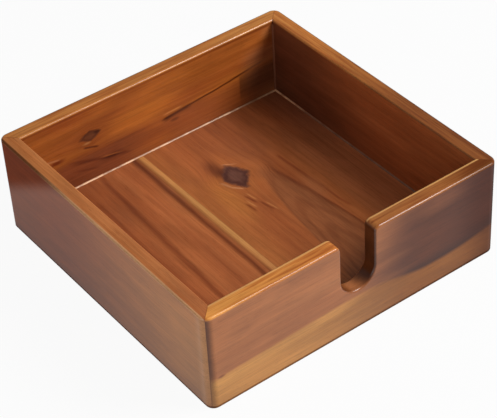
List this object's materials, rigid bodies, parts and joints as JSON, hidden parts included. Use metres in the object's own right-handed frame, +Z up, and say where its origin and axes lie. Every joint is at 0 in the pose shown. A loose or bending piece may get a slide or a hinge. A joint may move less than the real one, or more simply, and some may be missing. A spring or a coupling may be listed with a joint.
{
  "type": "napkin holder",
  "caption": "Square open-topped wooden tray for flat folded napkins, with mitred walls, a boarded floor and a rounded finger notch in the front wall.",
  "frame": {"origin": "middle of the base, on the table", "axes": "+Z up, -Y towards the notched front wall, +X to the right of someone who faces that wall"},
  "size_m": [0.19, 0.19, 0.0615],
  "materials": {
    "front_board": "satin lacquered acacia, heartwood above a pale sapwood band",
    "back_board": "satin lacquered acacia",
    "left_board": "satin lacquered acacia",
    "right_board": "satin lacquered acacia",
    "floor_board": "satin lacquered acacia",
    "spline_wood": "plain unfinished hardwood"
  },
  "bodies": {
    "root": {"front_wall": "front_board", "back_wall": "back_board", "left_wall": "left_board", "right_wall": "right_board", "floor_left_stave": "floor_board", "floor_right_stave": "floor_board", "mitre_spline_front_left": "spline_wood", "mitre_spline_front_right": "spline_wood", "mitre_spline_back_left": "spline_wood", "mitre_spline_back_right": "spline_wood"}
  },
  "joints": []
}
